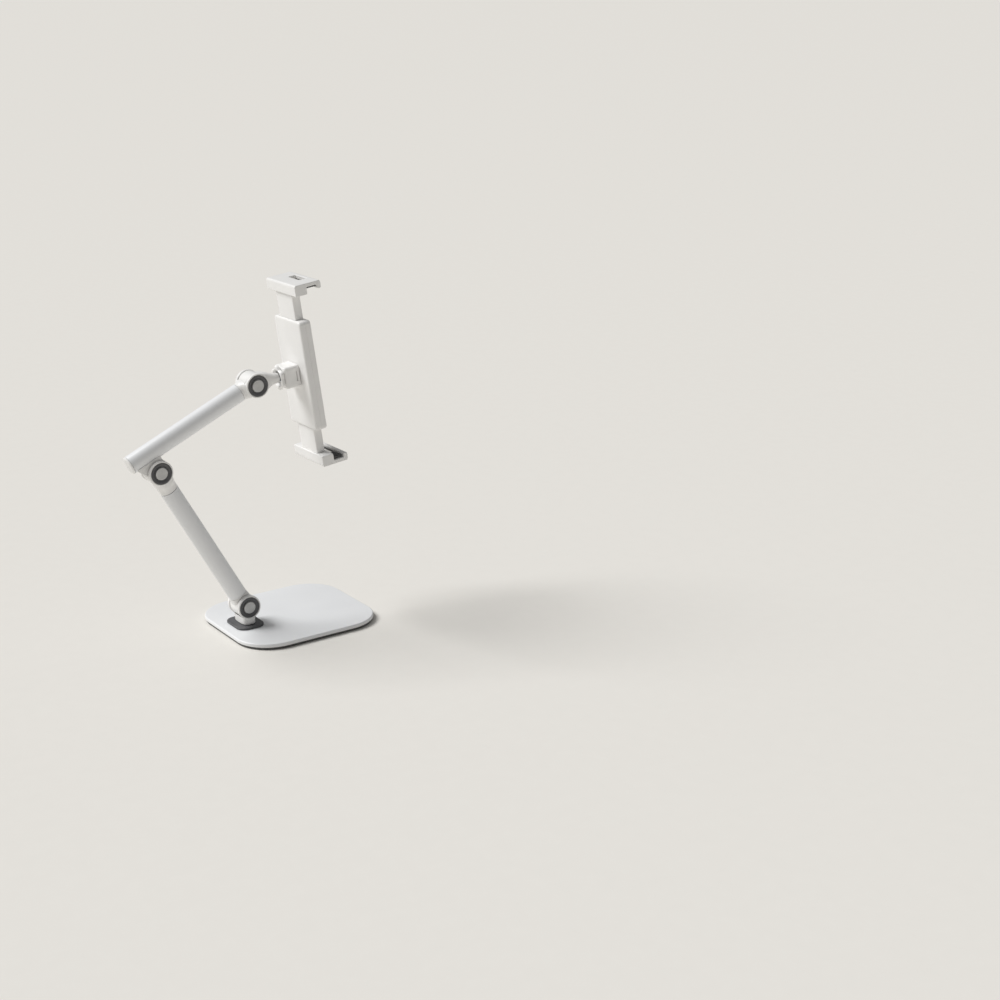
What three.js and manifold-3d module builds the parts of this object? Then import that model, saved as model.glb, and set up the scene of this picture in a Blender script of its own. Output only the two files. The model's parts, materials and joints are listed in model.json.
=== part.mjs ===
// Folding desktop tablet stand: weighted base, swivel post, two arms, ball head and clamp.
// Millimetres, +Z up. The origin is the centre of the base's underside, on the desk.
// The holder faces -Y, and the three arm hinges turn about X.
import * as THREE from 'three';
import { mergeVertices } from 'three/addons/utils/BufferGeometryUtils.js';
import Module from 'manifold-3d';

const wasm = await Module();
wasm.setup();

// ---- driving dimensions ----
const GAP = 0.3;                 // clearance between pieces that touch
const RAD = Math.PI / 180;

const BASE = { width: 146, depth: 153, corner: 39, pad: 2.0, plate: 3.9 };
const COLLAR = { width: 40, depth: 30, corner: 10, thick: 2.0 };
const POST_Y = 50.5;             // swivel axis, behind the centre of the base
const NECK = { halfWidth: 13, halfDepth: 7.5 };
const SWIVEL = { shank: 3.8, head: 7.5, washer: 8.0, bore: 4.2 };

const HINGE = {
  height: 27.5,                  // base hinge axis above the desk
  outer: 12.5,                   // radius of the yoke ears
  half: 13.6,                    // half length of the barrel
  slot: 9.4,                     // half width of the yoke slot
  tongue: 8.2,                   // half width of the tongue
  eye: 12.0,                     // radius of the tongue
  slotRadius: 13.0,              // reach of the slot behind the ears
  bolt: 3.0,
  bore: 3.3,
  boltHead: 5.2,
  boltNut: 4.9,
  headThick: 1.9,
  nutThick: 1.7,
  boltSeat: 5.6,                 // recess for the bolt's head, and for its nut
  ring: 10.7,                    // dark trim ring
  ringInner: 6.6,
  cap: 6.3,                      // centre cap
  capInner: 5.5,
  pocketFloor: 11.6,
  seatFloor: 10.9,
};
const TUBE = { outer: 9.5, inner: 8.0 };
const LOWER = { length: 180, lean: 62.2, seamLow: 14, seamHigh: 25 };
const UPPER = { length: 129, offset: 20.4, rise: 24, tail: 20, seamFront: 17 };
const LINK = { length: 37.5, rise: 3.4, end: 28.6, stem: 5.0 };
const BALL = { radius: 8, neck: 4.2, seatIn: 8.3, seatOut: 9.8, cavity: 10.1 };
const SOCKET = { half: 12, halfHeight: 11.5, rear: 5.8, front: -10.7, corner: 3.5, mouth: 8.6, slit: -7.3 };
const NUT = { radius: 12.8, lobes: 6, scallop: 1.1, rear: 9.8, bore: 7.4, mouth: 9.0 };

const HEAD_TILT = 6.5;           // the holder leans back
const BODY = { halfWidth: 28, halfHeight: 57.5, back: -11, split: -17.5, front: -24, corner: 4, wall: 1.6 };
const BAR = { halfWidth: 17.5, back: -13, front: -22, wall: 2, inner: 31, outer: 84 };
const RAIL = { inner: 6.2, outer: 13, back: -15.3, front: -21.2, tip: -30 };
const RACK = { module: 1, teeth: 17, crest: 4.3, rootHalf: 0.9, crestHalf: 0.3 };
const PINION = { teeth: 10, root: 3.7, tip: 5.7, back: -15.8, front: -20.8, pin: 1.6 };
const SPRING = { x: 22.3, y: -18, radius: 2.2, wire: 0.45, turns: 11, low: -52, high: 19.6 };
const POST = { radius: 1.4, tip: -15.5, z: -54 };           // holds the fixed end of a spring
const HOOK = { back: -16.5, front: -19.5, low: 20, high: 22.5 };   // holds its moving end
const JAW = { halfWidth: 31, inner: 84.3, outer: 95.8, plate: 4, lipEnd: -40, lip: 4, lipDrop: 8.3 };
const WINDOW = { halfWidth: 12, back: -27, front: -35 };
const JAW_PAD = { halfWidth: 28, thick: 2.2 };
const FRONT_PAD = { halfWidth: 22, halfHeight: 45, thick: 1.0 };

// ---- finishes ----
function finish(color, roughness, metalness) {
  return new THREE.MeshStandardMaterial({ color, roughness, metalness });
}
const PAINT = ['#e9e8e4', 0.45, 0.0];
const PLASTIC = ['#ecebe8', 0.38, 0.0];
const TRIM = ['#48484a', 0.5, 0.0];
const CAP = ['#969499', 0.35, 0.6];
const RUBBER = ['#1d1d1e', 0.85, 0.0];
const STEEL = ['#b4b6ba', 0.3, 0.9];
const NYLON = ['#d8d6d0', 0.55, 0.0];

// ---- solids ----
function solid(geometry) {
  const bare = geometry.clone();
  bare.deleteAttribute('normal');
  bare.deleteAttribute('uv');
  const merged = mergeVertices(bare, 1e-4);
  const index = merged.index.array;
  const triangles = [];
  for (let i = 0; i < index.length; i += 3) {
    const [a, b, c] = [index[i], index[i + 1], index[i + 2]];
    if (a !== b && b !== c && c !== a) triangles.push(a, b, c);
  }
  return new wasm.Manifold(new wasm.Mesh({
    numProp: 3,
    vertProperties: merged.attributes.position.array,
    triVerts: new Uint32Array(triangles),
  }));
}

function surface(manifold) {
  const mesh = manifold.getMesh();
  const geometry = new THREE.BufferGeometry();
  geometry.setAttribute('position', new THREE.BufferAttribute(mesh.vertProperties, 3));
  geometry.setIndex(new THREE.BufferAttribute(mesh.triVerts, 1));
  return geometry;
}

function shaped(adds, cuts = []) {
  let body = solid(adds[0]);
  for (const add of adds.slice(1)) body = body.add(solid(add));
  for (const cut of cuts) body = body.subtract(solid(cut));
  return surface(body);
}

// ---- basic forms ----
const X = new THREE.Vector3(1, 0, 0);
const Y = new THREE.Vector3(0, 1, 0);
const Z = new THREE.Vector3(0, 0, 1);

function basis(a, b, c) {
  return new THREE.Matrix4().makeBasis(a, b, c);
}
const ALONG_X = basis(Y, Z, X);
const ALONG_Y = basis(X, Z, Y.clone().negate());
const TURN_X = basis(Y, X, Z.clone().negate());
const TURN_Z = basis(X, Z, Y.clone().negate());

// Spins a profile of [radius, height] points about +Y. The points run from low to high outside.
function turned(profile, segments) {
  return new THREE.LatheGeometry(profile.map(([r, h]) => new THREE.Vector2(r, h)), segments);
}

function disc(radius, low, high) {
  return [[0, low], [radius, low], [radius, high], [0, high]];
}

function washer(outer, inner, low, high) {
  return [[inner, low], [outer, low], [outer, high], [inner, high], [inner, low]];
}

function rodX(radius, low, high, segments = 24) {
  return turned(disc(radius, low, high), segments).applyMatrix4(TURN_X);
}

function rodZ(radius, low, high, segments = 24) {
  return turned(disc(radius, low, high), segments).applyMatrix4(TURN_Z);
}

function rodY(radius, low, high, segments = 24) {
  return turned(disc(radius, low, high), segments);
}

function box(low, high) {
  const size = high.map((h, i) => h - low[i]);
  const middle = high.map((h, i) => (h + low[i]) / 2);
  return new THREE.BoxGeometry(...size).translate(...middle);
}

function roundedOutline(halfWidth, halfHeight, corner) {
  const shape = new THREE.Shape();
  const [w, h] = [halfWidth - corner, halfHeight - corner];
  shape.absarc(w, h, corner, 0, Math.PI / 2);
  shape.absarc(-w, h, corner, Math.PI / 2, Math.PI);
  shape.absarc(-w, -h, corner, Math.PI, 1.5 * Math.PI);
  shape.absarc(w, -h, corner, 1.5 * Math.PI, 2 * Math.PI);
  return shape;
}

function polygon(points) {
  return new THREE.Shape(points.map(([u, v]) => new THREE.Vector2(u, v)));
}

// Extrudes an outline from 0 to the given thickness, with rounded rims that keep its full size.
function plate(shape, thickness, rim = 0, curveSegments = 6) {
  const geometry = new THREE.ExtrudeGeometry(shape, {
    depth: thickness - 2 * rim,
    bevelEnabled: rim > 0,
    bevelThickness: rim,
    bevelSize: rim,
    bevelOffset: -rim,
    bevelSegments: 1,
    curveSegments,
  });
  return geometry.translate(0, 0, rim);
}

// Skins a stack of superellipse sections { at, a, b, n } along +Z.
function lofted(sections, sides = 20) {
  const positions = [];
  const index = [];
  sections.forEach(({ at, a, b, n }) => {
    for (let i = 0; i < sides; i += 1) {
      const angle = (2 * Math.PI * i) / sides;
      const [c, s] = [Math.cos(angle), Math.sin(angle)];
      positions.push(a * Math.sign(c) * Math.abs(c) ** (2 / n));
      positions.push(b * Math.sign(s) * Math.abs(s) ** (2 / n), at);
    }
  });
  const last = sections.length - 1;
  for (let k = 0; k < last; k += 1) {
    for (let i = 0; i < sides; i += 1) {
      const j = (i + 1) % sides;
      const [p, q] = [k * sides + i, k * sides + j];
      index.push(p, q, q + sides, p, q + sides, p + sides);
    }
  }
  for (let i = 1; i < sides - 1; i += 1) {
    index.push(0, i + 1, i);
    index.push(last * sides, last * sides + i, last * sides + i + 1);
  }
  const geometry = new THREE.BufferGeometry();
  geometry.setAttribute('position', new THREE.Float32BufferAttribute(positions, 3));
  geometry.setIndex(index);
  return geometry;
}

// ---- scene graph ----
const stand = new THREE.Group();

function frameAt(parent, y, z, tilt = 0) {
  const group = new THREE.Group();
  group.position.set(0, y, z);
  group.rotation.x = tilt * RAD;
  parent.add(group);
  return group;
}

function piece(parent, name, geometry, look) {
  const mesh = new THREE.Mesh(geometry, finish(...look));
  mesh.name = name;
  parent.add(mesh);
  return mesh;
}

// ---- hinge: a slotted yoke, a tongue and the hardware that clamps them ----
function yokeCuts() {
  const { outer, half, slot, slotRadius, bore, ring, boltSeat, pocketFloor, seatFloor } = HINGE;
  const beyond = half + 1;
  return [
    rodX(slotRadius, -slot, slot, 28),
    box([-slot, -slotRadius, 0], [slot, slotRadius, outer + 4]),
    rodX(bore, -beyond, beyond, 12),
    rodX(ring + GAP, pocketFloor, beyond, 20),
    rodX(ring + GAP, -beyond, -pocketFloor, 20),
    rodX(boltSeat, seatFloor, beyond, 12),
    rodX(boltSeat, -beyond, -seatFloor, 12),
  ];
}

function barrel() {
  const rim = 0.8;
  const [r, h] = [HINGE.outer, HINGE.half];
  const profile = [[0, -h], [r - rim, -h], [r, -h + rim], [r, h - rim], [r - rim, h], [0, h]];
  return turned(profile, 28).applyMatrix4(TURN_X);
}

function hardware(group, prefix) {
  const { seatFloor, pocketFloor, half, bolt, bore, slot, tongue } = HINGE;
  const { boltHead, boltNut, headThick, nutThick, ringInner, capInner } = HINGE;
  const head = seatFloor + GAP;
  const end = head + headThick;
  const boltProfile = [[0, -end], [boltHead, -end], [boltHead, -head], [bolt, -head], [bolt, end], [0, end]];
  piece(group, `${prefix}_bolt`, turned(boltProfile, 12).applyMatrix4(TURN_X), STEEL);
  const nut = plate(hexagon(boltNut, bolt + GAP), nutThick).applyMatrix4(ALONG_X).translate(head, 0, 0);
  piece(group, `${prefix}_nut`, nut, STEEL);
  for (const [side, sign] of [['near', -1], ['far', 1]]) {
    const from = tongue + GAP;
    const friction = washer(11, bore, from, slot - GAP);
    piece(group, `${prefix}_washer_${side}`, mirroredX(turned(friction, 14), sign), NYLON);
    const floor = pocketFloor + GAP;
    const ring = [[ringInner, floor], [HINGE.ring, floor], [HINGE.ring, half - 0.5]];
    ring.push([HINGE.ring - 0.4, half - 0.1], [ringInner, half - 0.1], [ringInner, floor]);
    piece(group, `${prefix}_ring_${side}`, mirroredX(turned(ring, 20), sign), TRIM);
    const cap = [[capInner, floor], [HINGE.cap, floor], [HINGE.cap, half + 0.3], [0, half + 0.3]];
    cap.push([0, half - 0.2], [capInner, half - 0.2], [capInner, floor]);
    piece(group, `${prefix}_cap_${side}`, mirroredX(turned(cap, 16), sign), CAP);
  }
}

// Lays a profile spun about +Y along +X, or along -X for a sign of -1.
function mirroredX(geometry, sign) {
  geometry.applyMatrix4(TURN_X);
  return sign > 0 ? geometry : geometry.applyMatrix4(new THREE.Matrix4().makeRotationZ(Math.PI));
}

function hexagon(radius, hole) {
  const points = [];
  for (let i = 0; i < 6; i += 1) {
    const angle = i * 60 * RAD;
    points.push([radius * Math.cos(angle), radius * Math.sin(angle)]);
  }
  const shape = polygon(points);
  shape.holes.push(new THREE.Path().absarc(0, 0, hole, 0, 2 * Math.PI, true));
  return shape;
}

// ---- base ----
const plateLow = BASE.pad + GAP;
const plateTop = plateLow + BASE.plate;
const collarLow = plateTop + GAP;
const collarTop = collarLow + COLLAR.thick;
const recessTop = plateLow + 2;

function makeBase() {
  const padOutline = roundedOutline(BASE.width / 2 - 1, BASE.depth / 2 - 1, BASE.corner - 1);
  const pad = shaped([plate(padOutline, BASE.pad, 0, 7)], [rodZ(9, -1, 4).translate(0, POST_Y, 0)]);
  piece(stand, 'base_pad', pad, RUBBER);

  const outline = roundedOutline(BASE.width / 2, BASE.depth / 2, BASE.corner);
  const steel = plate(outline, BASE.plate, 0.8, 7).translate(0, 0, plateLow);
  const recess = rodZ(8.5, 0, recessTop).translate(0, POST_Y, 0);
  const bore = rodZ(SWIVEL.bore, 0, 12).translate(0, POST_Y, 0);
  piece(stand, 'base_plate', shaped([steel], [recess, bore]), PAINT);

  const collarOutline = roundedOutline(COLLAR.width / 2, COLLAR.depth / 2, COLLAR.corner);
  const slab = plate(collarOutline, COLLAR.thick, 0.6, 4).translate(0, POST_Y, collarLow);
  piece(stand, 'swivel_collar', shaped([slab], [bore]), TRIM);
  const ring = washer(SWIVEL.washer, SWIVEL.bore, recessTop - 0.8, recessTop - GAP);
  piece(stand, 'swivel_washer', turned(ring, 24).applyMatrix4(TURN_Z).translate(0, POST_Y, 0), STEEL);
}

function makePost() {
  const low = collarTop + GAP;
  const head = recessTop - 0.8 - GAP;
  const end = low + 4;
  const profile = [[0, head - 2], [SWIVEL.head - 0.5, head - 2], [SWIVEL.head, head - 1.5]];
  profile.push([SWIVEL.head, head], [SWIVEL.shank, head], [SWIVEL.shank, end], [0, end]);
  piece(stand, 'swivel_bolt', turned(profile, 24).applyMatrix4(TURN_Z).translate(0, POST_Y, 0), STEEL);

  const group = frameAt(stand, POST_Y, HINGE.height);
  const { halfWidth, halfDepth } = NECK;
  const neck = lofted([
    { at: low - HINGE.height, a: halfWidth - 0.6, b: halfDepth - 0.6, n: 3.6 },
    { at: low - HINGE.height + 0.6, a: halfWidth, b: halfDepth, n: 3.6 },
    { at: -10, a: halfWidth, b: halfDepth + 0.4, n: 3.6 },
    { at: -5, a: halfWidth, b: halfDepth + 2, n: 3.6 },
  ], 24);
  const thread = rodZ(SWIVEL.shank + GAP, low - 1 - HINGE.height, end + GAP - HINGE.height);
  piece(group, 'base_post', shaped([barrel(), neck], [...yokeCuts(), thread]), PLASTIC);
  hardware(group, 'base_hinge');
}

// ---- arms ----
function tube(low, high) {
  return turned(washer(TUBE.outer, TUBE.inner, low, high), 24).applyMatrix4(TURN_Z);
}

function eye() {
  return rodX(HINGE.eye, -HINGE.tongue, HINGE.tongue, 28);
}

function axleHole() {
  return rodX(HINGE.bore, -HINGE.half, HINGE.half, 12);
}
const SPIGOT = TUBE.inner - 0.4;

function makeLowerArm() {
  const arm = frameAt(stand, POST_Y, HINGE.height, LOWER.lean - 90);
  const low = LOWER.seamLow;
  const high = LOWER.length - LOWER.seamHigh;
  piece(arm, 'lower_arm_tube', tube(low, high), PAINT);

  const { tongue } = HINGE;
  const neck = lofted([
    { at: 0, a: tongue, b: 10, n: 5 },
    { at: 10.5, a: tongue, b: 9.6, n: 4 },
    { at: 12.6, a: 8.8, b: 9.5, n: 2.4 },
    { at: low - GAP, a: 9.4, b: 9.4, n: 2 },
  ]);
  const spigot = rodZ(SPIGOT, low - 1, low + 10, 14);
  piece(arm, 'lower_arm_foot', shaped([eye(), neck, spigot], [axleHole()]), PLASTIC);

  const top = frameAt(arm, 0, LOWER.length);
  const seam = -LOWER.seamHigh + GAP;
  const { half } = HINGE;
  const flare = lofted([
    { at: seam, a: 9.4, b: 9.4, n: 2 },
    { at: -20, a: 10.2, b: 9.4, n: 2.1 },
    { at: -14.5, a: half - 0.8, b: 9.4, n: 2.8 },
    { at: -10, a: half - 0.2, b: 9.4, n: 3.6 },
    { at: -4, a: half - 0.2, b: 9.6, n: 3.6 },
  ]);
  const plug = rodZ(SPIGOT, seam - 10, seam + 1, 14);
  piece(top, 'elbow_yoke', shaped([barrel(), flare, plug], yokeCuts()), PLASTIC);
  hardware(top, 'elbow');
  return top;
}

const elbow = { y: POST_Y + LOWER.length * Math.cos(LOWER.lean * RAD) };
elbow.z = HINGE.height + LOWER.length * Math.sin(LOWER.lean * RAD);

function makeUpperArm() {
  const arm = frameAt(stand, elbow.y, elbow.z, -UPPER.rise);
  const line = frameAt(arm, 0, UPPER.offset, 90);      // local +Z runs forwards along the tube
  const front = UPPER.length - UPPER.seamFront;
  piece(line, 'upper_arm_tube', tube(-UPPER.tail, front), PAINT);

  const end = -UPPER.tail - GAP;
  const cap = [[0, end - 2], [8.2, end - 1.6], [9.5, end - 0.4], [9.5, end]];
  cap.push([SPIGOT, end], [SPIGOT, end + 7], [0, end + 7]);
  piece(line, 'upper_arm_end_cap', turned(cap, 20).applyMatrix4(TURN_Z), PLASTIC);

  const side = [[17.5, 15.5], [17.5, 12], [11.5, 2], [7, -6], [-7, -6], [-11.9, 0], [-11.5, 5]];
  side.push([-9, 10], [-9, 15.5]);
  const web = plate(polygon(side), 2 * HINGE.tongue, 0.8).applyMatrix4(ALONG_X);
  web.translate(-HINGE.tongue, 0, 0);
  const beyond = 30;
  const saddle = rodY(TUBE.outer + GAP, -beyond, beyond, 24).translate(0, 0, UPPER.offset);
  piece(arm, 'elbow_bracket', shaped([eye(), web], [saddle, axleHole()]), PLASTIC);

  const tip = frameAt(line, 0, UPPER.length);
  const { half } = HINGE;
  const seam = -UPPER.seamFront + GAP;
  const flare = lofted([
    { at: seam, a: 9.4, b: 9.4, n: 2 },
    { at: -14, a: 9.9, b: 9.4, n: 2.2 },
    { at: -11, a: half - 0.4, b: 9.6, n: 3 },
    { at: -4, a: half - 0.2, b: 9.8, n: 3.6 },
  ]);
  const plug = rodZ(SPIGOT, seam - 10, seam + 1, 14);
  piece(tip, 'head_yoke', shaped([barrel(), flare, plug], yokeCuts()), PLASTIC);
  hardware(tip, 'head_hinge');
}

const rise = UPPER.rise * RAD;
const headHinge = {
  y: elbow.y + UPPER.offset * Math.sin(rise) - UPPER.length * Math.cos(rise),
  z: elbow.z + UPPER.offset * Math.cos(rise) + UPPER.length * Math.sin(rise),
};
const ball = {
  y: headHinge.y - LINK.length * Math.cos(LINK.rise * RAD),
  z: headHinge.z + LINK.length * Math.sin(LINK.rise * RAD),
};

function makeLink() {
  const group = frameAt(stand, headHinge.y, headHinge.z, 90 - LINK.rise);   // local +Z towards the ball
  const { tongue } = HINGE;
  const neck = lofted([
    { at: 0, a: tongue, b: 11, n: 5 },
    { at: 9, a: tongue, b: 10.4, n: 4 },
    { at: 15, a: 7.8, b: 8.8, n: 2.8 },
    { at: 20, a: 6.6, b: 6.9, n: 2.1 },
    { at: 24, a: LINK.stem + 0.6, b: LINK.stem + 0.6, n: 2 },
    { at: LINK.end, a: LINK.stem, b: LINK.stem, n: 2 },
  ]);
  const tapped = rodZ(2.5 + GAP, LINK.end - 9, LINK.end + 1, 16);
  piece(group, 'head_link', shaped([eye(), neck], [axleHole(), tapped]), PLASTIC);

  const { radius, neck: stem } = BALL;
  const profile = [[0, LINK.end - 8.5], [2.5, LINK.end - 8.5], [2.5, LINK.end + GAP]];
  profile.push([stem, LINK.end + GAP]);
  const start = Math.asin(stem / radius);
  for (let i = 0; i <= 8; i += 1) {
    const polar = start + ((Math.PI - start) * i) / 8;
    profile.push([i === 8 ? 0 : radius * Math.sin(polar), LINK.length - radius * Math.cos(polar)]);
  }
  piece(group, 'ball_stud', turned(profile, 16).applyMatrix4(TURN_Z), STEEL);
}

// ---- ball socket, in the head's frame: origin at the ball, front towards -Y ----
function seatProfile(from, to, steps) {
  const points = [];
  for (let i = 0; i <= steps; i += 1) {
    const polar = (from + ((to - from) * i) / steps) * RAD;
    points.push([BALL.seatOut * Math.sin(polar), -BALL.seatOut * Math.cos(polar)]);
  }
  for (let i = steps; i >= 0; i -= 1) {
    const polar = (from + ((to - from) * i) / steps) * RAD;
    points.push([BALL.seatIn * Math.sin(polar), -BALL.seatIn * Math.cos(polar)]);
  }
  if (from > 0) points.push(points[0]);
  return points;
}

function lobedOutline() {
  const points = [];
  const count = NUT.lobes * 6;
  for (let i = 0; i < count; i += 1) {
    const angle = (2 * Math.PI * i) / count;
    const radius = NUT.radius - NUT.scallop * (1 - Math.cos(NUT.lobes * angle));
    points.push([radius * Math.sin(angle), radius * Math.cos(angle)]);
  }
  return polygon(points.reverse());
}

function makeSocket(head) {
  const shell = turned(seatProfile(0, 60, 4), 16);
  const halves = [
    ['left', box([-0.25, -20, -20], [20, 20, 20])],
    ['right', box([-20, -20, -20], [0.25, 20, 20])],
  ];
  for (const [side, away] of halves) {
    piece(head, `ball_seat_${side}`, shaped([shell], [away]), NYLON);
  }
  piece(head, 'ball_retainer', turned(seatProfile(100, 125, 2), 16), NYLON);

  const { half, halfHeight, rear, front, corner, slit } = SOCKET;
  const outline = roundedOutline(half, halfHeight, corner);
  const block = plate(outline, rear - front, 1.4, 4).applyMatrix4(ALONG_Y).translate(0, rear, 0);
  const cavity = new THREE.SphereGeometry(BALL.cavity, 18, 10);
  const mouth = rodY(SOCKET.mouth, 0, rear + 1, 18);
  const cuts = [cavity, mouth];
  for (const sign of [-1, 1]) {
    const from = sign * (half - 0.8);
    const edge = sign * (half + 1);
    cuts.push(box([Math.min(from, edge), slit - 0.45, -5], [Math.max(from, edge), slit + 0.45, 5]));
  }
  piece(head, 'socket_block', shaped([block], cuts), PLASTIC);

  const low = rear + GAP;
  const lobes = plate(lobedOutline(), NUT.rear - low, 0.6).applyMatrix4(ALONG_Y).translate(0, NUT.rear, 0);
  const opening = turned([[0, low - 1], [NUT.bore, low - 1], [NUT.bore, low], [NUT.mouth, NUT.rear],
    [NUT.mouth, NUT.rear + 1], [0, NUT.rear + 1]], 18);
  piece(head, 'lock_nut', shaped([lobes], [opening]), PLASTIC);
}

// ---- holder body ----
function makeBody(head) {
  const { halfWidth, halfHeight, back, split, front, corner, wall } = BODY;
  const outline = roundedOutline(halfWidth, halfHeight, corner);
  const barWay = (low, high) => box([-BAR.halfWidth - GAP, low, -halfHeight - 1],
    [BAR.halfWidth + GAP, high, halfHeight + 1]);
  const hollow = (low, high) => box([-halfWidth + wall, low, -halfHeight + wall],
    [halfWidth - wall, high, halfHeight - wall]);
  const edge = split + GAP / 2;

  const rear = plate(outline, 2 * (back - edge), 1.6, 4).applyMatrix4(ALONG_Y).translate(0, back, 0);
  const below = box([-40, edge - 20, -80], [40, edge, 80]);
  const inside = back - wall;
  piece(head, 'holder_back_cover',
    shaped([rear], [below, hollow(edge - 1, inside), barWay(edge - 1, inside)]), PLASTIC);

  const seam = split - GAP / 2;
  const thickness = 2 * (seam - front);
  const tray = plate(outline, thickness, 1.6, 4).applyMatrix4(ALONG_Y).translate(0, front + thickness, 0);
  const above = box([-40, seam, -80], [40, seam + 20, 80]);
  const face = front + wall;
  const shell = shaped([tray], [above, hollow(face, seam + 1), barWay(face, seam + 1)]);
  const posts = [rodY(PINION.pin, face - 0.5, PINION.back + 0.6, 16)];
  for (const sign of [-1, 1]) {
    posts.push(rodY(POST.radius, face - 0.5, POST.tip, 12).translate(sign * SPRING.x, 0, sign * POST.z));
  }
  piece(head, 'holder_front_cover', shaped([shell, ...posts]), PLASTIC);

  const padShape = roundedOutline(FRONT_PAD.halfWidth, FRONT_PAD.halfHeight, 6);
  const pad = plate(padShape, FRONT_PAD.thick, 0, 5).applyMatrix4(ALONG_Y).translate(0, front - GAP, 0);
  piece(head, 'holder_front_pad', pad, RUBBER);
}

// ---- sliders: a channel bar that carries a jaw, and a toothed rail inside the body ----
function rackOutline() {
  const pitch = Math.PI * RACK.module;
  const points = [[RAIL.outer, RAIL.tip], [RAIL.outer, BAR.inner + 3], [RAIL.inner, BAR.inner + 3]];
  const first = -Math.floor(RACK.teeth / 2);
  const { crest, rootHalf, crestHalf } = RACK;
  for (let i = RACK.teeth - 1; i >= 0; i -= 1) {
    const middle = (first + i + 0.5) * pitch;
    points.push([RAIL.inner, middle + rootHalf], [crest, middle + crestHalf]);
    points.push([crest, middle - crestHalf], [RAIL.inner, middle - rootHalf]);
  }
  points.push([RAIL.inner, RAIL.tip]);
  return polygon(points);
}

function makeSlider(head, side) {
  const up = frameAt(head, 0, 0);
  if (side === 'bottom') up.rotation.y = Math.PI;
  const { halfWidth, back, front, wall, inner, outer } = BAR;
  const bar = box([-halfWidth, front, inner], [halfWidth, back, outer]);
  const channel = box([-halfWidth + wall, front - 1, inner - 1], [halfWidth - wall, back - wall, outer - 4]);
  const rail = plate(rackOutline(), RAIL.back - RAIL.front).applyMatrix4(ALONG_Y).translate(0, RAIL.back, 0);
  const bridge = box([RAIL.inner, RAIL.front, inner], [halfWidth - 0.5, back - 0.5, inner + 6]);
  const hook = box([RAIL.outer - 1, HOOK.front, HOOK.low], [SPRING.x + 1.5, HOOK.back, HOOK.high]);
  piece(up, `${side}_slider`, shaped([shaped([bar], [channel]), rail, bridge, hook]), PLASTIC);
  return up;
}

function makePinion(head) {
  const { teeth: count, root, tip } = PINION;
  const points = [];
  const step = (2 * Math.PI) / count;
  for (let i = 0; i < count; i += 1) {
    const middle = i * step;
    for (const [radius, offset] of [[root, -0.22], [tip, -0.055], [tip, 0.055], [root, 0.22]]) {
      points.push([radius * Math.cos(middle + offset), radius * Math.sin(middle + offset)]);
    }
  }
  const shape = polygon(points);
  shape.holes.push(new THREE.Path().absarc(0, 0, PINION.pin + 0.1, 0, 2 * Math.PI, true));
  const gear = plate(shape, PINION.back - PINION.front).applyMatrix4(ALONG_Y);
  piece(head, 'centring_pinion', gear.translate(0, PINION.back, 0), NYLON);
}

function makeSpring(head, side, sign) {
  const { x, radius, wire, turns, low, high } = SPRING;
  class Helix extends THREE.Curve {
    getPoint(t) {
      const angle = 2 * Math.PI * turns * t;
      const middle = radius - wire;
      return new THREE.Vector3(middle * Math.cos(angle), middle * Math.sin(angle), low + (high - low) * t);
    }
  }
  const section = new THREE.Shape().absarc(0, 0, wire, 0, 2 * Math.PI);
  const coil = new THREE.ExtrudeGeometry(section, {
    steps: turns * 6,
    curveSegments: 2,
    extrudePath: new Helix(),
  });
  const group = frameAt(head, 0, 0);
  if (sign < 0) group.rotation.y = Math.PI;
  piece(group, `${side}_spring`, coil.translate(x, SPRING.y, 0), STEEL);
}

// ---- jaws ----
function makeJaw(up, side) {
  const { halfWidth, inner, outer, plate: thick, lipEnd, lip, lipDrop } = JAW;
  const back = BODY.back;
  const face = BODY.front;
  const under = outer - thick;
  const profile = [[back, inner + 1], [back, outer - 1.2], [back - 1.2, outer], [lipEnd + 2, outer]];
  profile.push([lipEnd + 0.6, outer - 0.6], [lipEnd, outer - 2], [lipEnd, outer - lipDrop + 1]);
  profile.push([lipEnd + 1, outer - lipDrop], [lipEnd + lip, outer - lipDrop], [lipEnd + lip, under]);
  profile.push([face, under], [face, inner + 2], [face + 1.5, inner], [back - 1, inner]);
  const solidJaw = plate(polygon(profile.reverse()), 2 * halfWidth, 1).applyMatrix4(ALONG_X);
  solidJaw.translate(-halfWidth, 0, 0);
  const window = box([-WINDOW.halfWidth, WINDOW.front, under - 4],
    [WINDOW.halfWidth, WINDOW.back, outer + 1]);
  piece(up, `${side}_jaw`, shaped([solidJaw], [window]), PLASTIC);

  const [low, high] = [under - GAP - JAW_PAD.thick, under - GAP];
  const strip = box([-JAW_PAD.halfWidth, lipEnd + lip + GAP, low], [JAW_PAD.halfWidth, face - GAP, high]);
  piece(up, `${side}_jaw_pad`, shaped([strip], [window]), RUBBER);
}

makeBase();
makePost();
makeLowerArm();
makeUpperArm();
makeLink();
const head = frameAt(stand, ball.y, ball.z, -HEAD_TILT);
makeSocket(head);
makeBody(head);
makePinion(head);
for (const [side, sign] of [['top', 1], ['bottom', -1]]) {
  const up = makeSlider(head, side);
  makeJaw(up, side);
  makeSpring(head, side, sign);
}

export default stand;
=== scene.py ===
import json
import math
from types import SimpleNamespace

import bmesh
import bpy
from bpy.props import FloatProperty, FloatVectorProperty, IntProperty, PointerProperty
from mathutils import Matrix, Vector


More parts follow.
